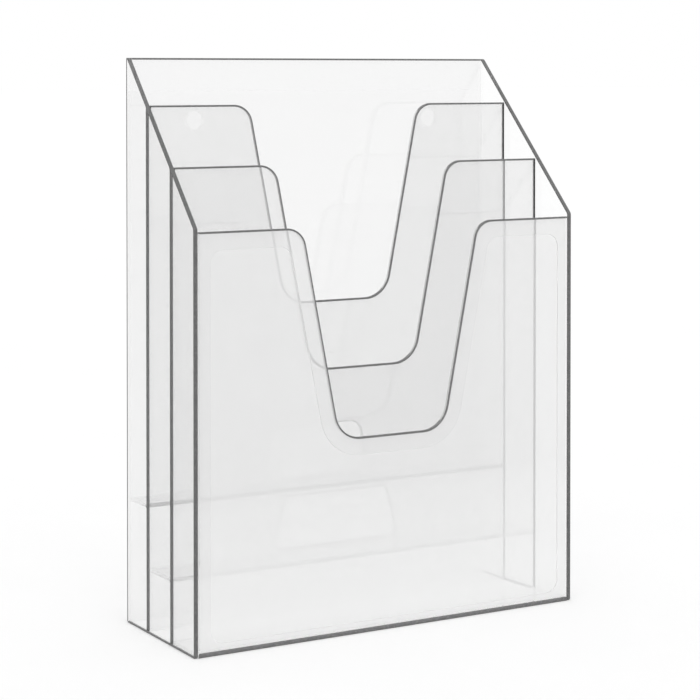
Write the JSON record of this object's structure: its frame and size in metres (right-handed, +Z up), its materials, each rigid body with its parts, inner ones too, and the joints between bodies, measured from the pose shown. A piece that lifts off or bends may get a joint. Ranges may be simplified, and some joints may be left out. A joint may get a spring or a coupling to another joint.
{
  "type": "desktop file sorter",
  "caption": "Clear sheet file sorter with stepped pockets, flared index cutouts, slanted side panels and a flat back that can hang on a wall.",
  "frame": {"origin": "middle of the footprint, at desk height", "axes": "+Z up, front panel faces -Y, flat back faces +Y, +X to the right seen from the front"},
  "size_m": [0.25, 0.0898, 0.3222],
  "materials": {
    "clear_sheet": "polished, clear"
  },
  "bodies": {
    "root": {"back_panel": "clear_sheet", "left_side_panel": "clear_sheet", "right_side_panel": "clear_sheet", "front_panel": "clear_sheet", "middle_divider": "clear_sheet", "rear_divider": "clear_sheet", "rear_floor": "clear_sheet", "middle_floor": "clear_sheet", "front_floor": "clear_sheet"}
  },
  "joints": []
}
